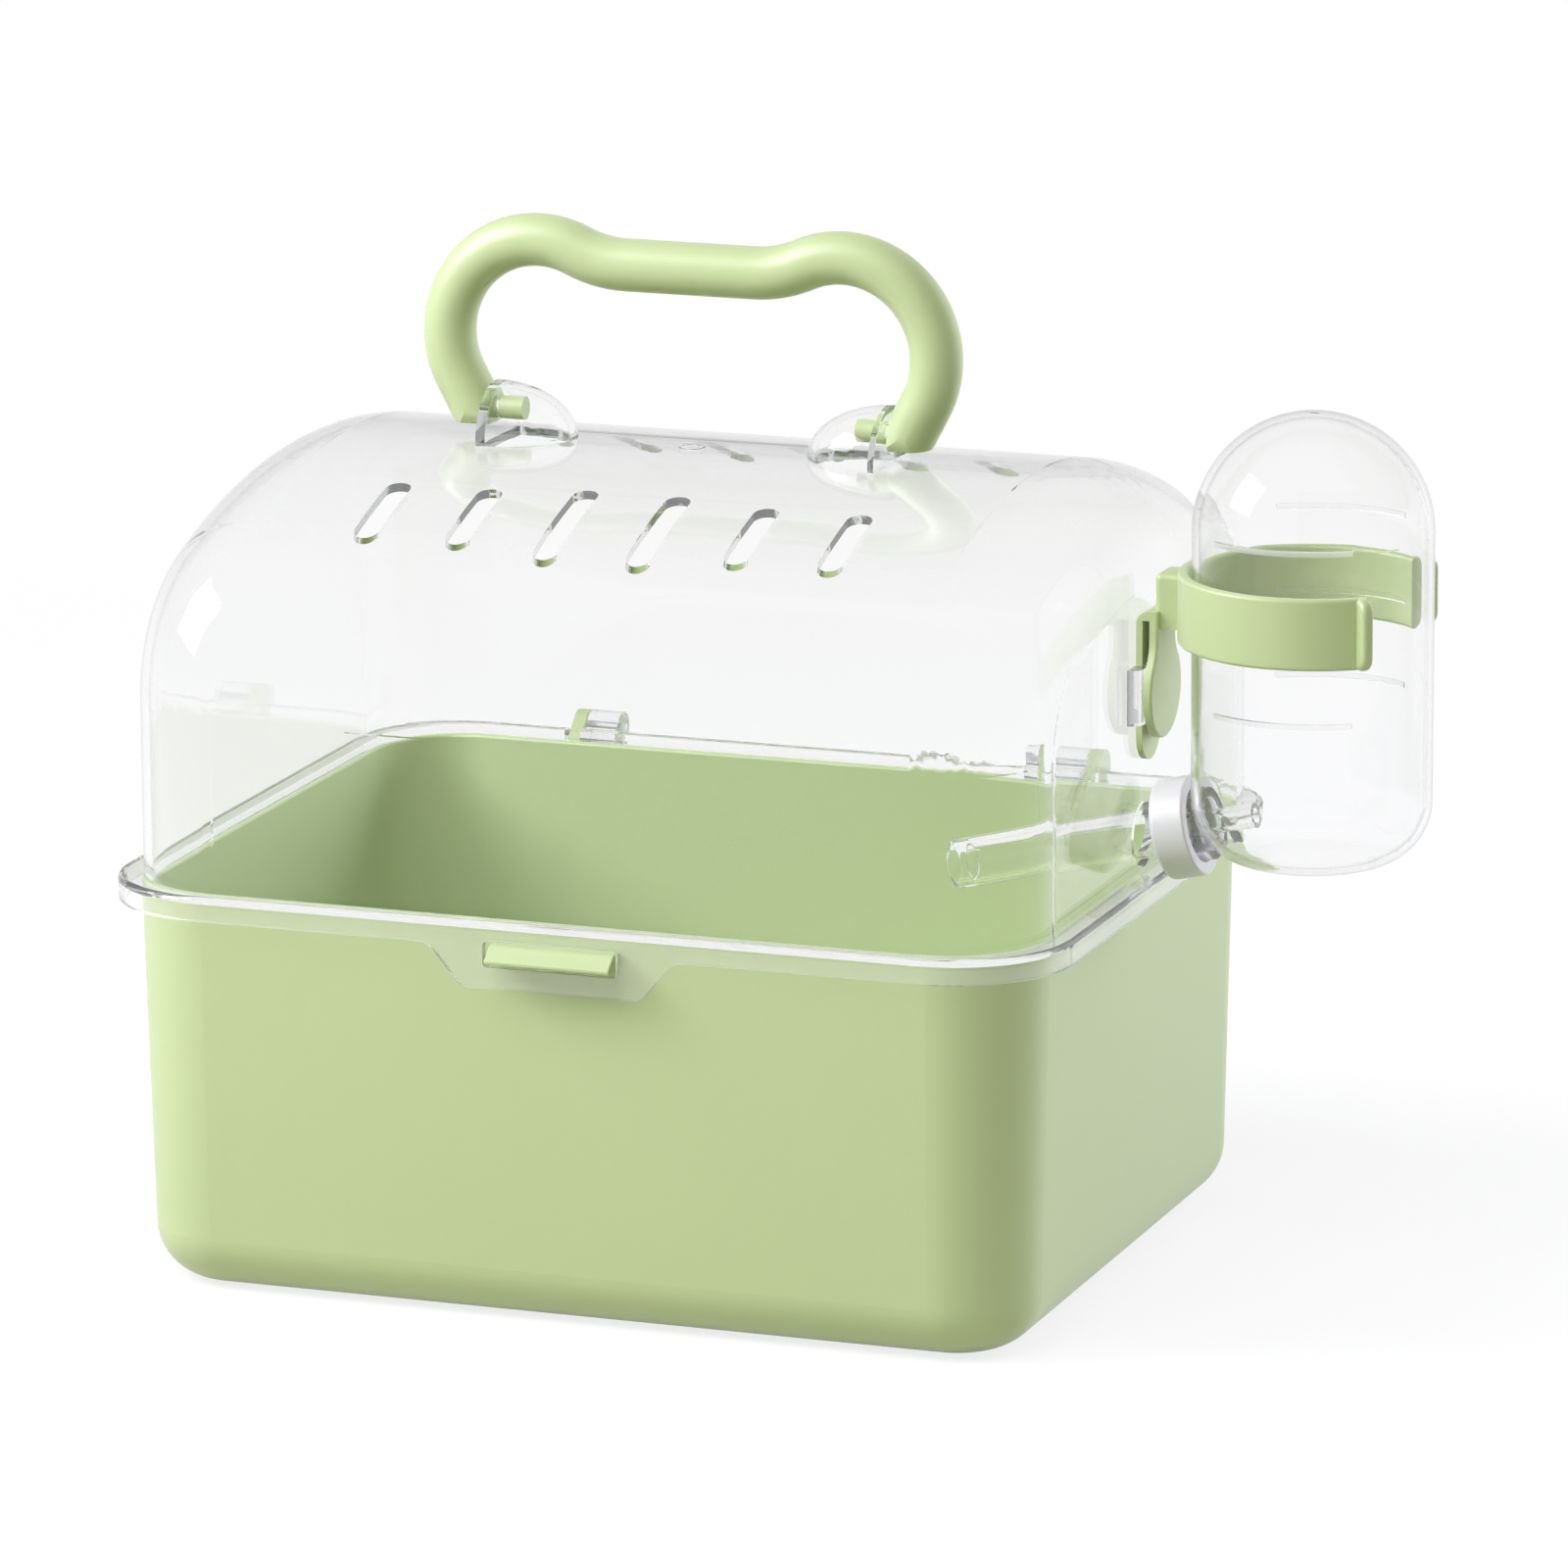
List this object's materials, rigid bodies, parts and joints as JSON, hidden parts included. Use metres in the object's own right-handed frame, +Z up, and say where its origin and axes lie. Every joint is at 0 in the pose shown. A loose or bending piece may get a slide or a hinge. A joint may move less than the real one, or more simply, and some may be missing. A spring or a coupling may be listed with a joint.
{
  "type": "hamster carrier",
  "caption": "Small-pet carrier: deep open tub, clear arched lid on a rear hinge with a snap latch, folding bar handle, and a clip-on water bottle whose spout reaches inside.",
  "frame": {"origin": "centre of the tub's flat underside", "axes": "+X towards the bottle end, -Y is the latch side, +Z up"},
  "size_m": [0.2986, 0.2021, 0.2455],
  "materials": {
    "green_plastic": "fine matte moulded",
    "clear_plastic": "clear, polished mould",
    "cap_plastic": "translucent white, satin",
    "gasket_rubber": "soft pale silicone",
    "pin_steel": "drawn wire"
  },
  "bodies": {
    "base": {"base_tub": "green_plastic", "hinge_pin_left": "pin_steel", "hinge_pin_right": "pin_steel"},
    "lid": {"dome_lid": "clear_plastic", "bottle_bracket": "green_plastic"},
    "handle": {"carry_handle": "green_plastic"},
    "bottle": {"water_bottle": "clear_plastic", "spout_cap": "cap_plastic", "cap_gasket": "gasket_rubber", "sipper_tube": "clear_plastic"}
  },
  "joints": [
    {"name": "lid_hinge", "type": "hinge", "parent": "base", "child": "lid", "pos_m": [0, 0.1005, 0.0974], "axis": [-1, 0, 0], "range_deg": [0, 105]},
    {"name": "handle_fold", "type": "hinge", "parent": "lid", "child": "handle", "pos_m": [0, 0, 0.1985], "axis": [1, 0, 0], "range_deg": [-90, 90]},
    {"name": "bottle_pull", "type": "slide", "parent": "lid", "child": "bottle", "axis": [0.9732, 0, 0.23], "range_m": [0, 0.08], "deforming": ["bottle_bracket"]}
  ]
}
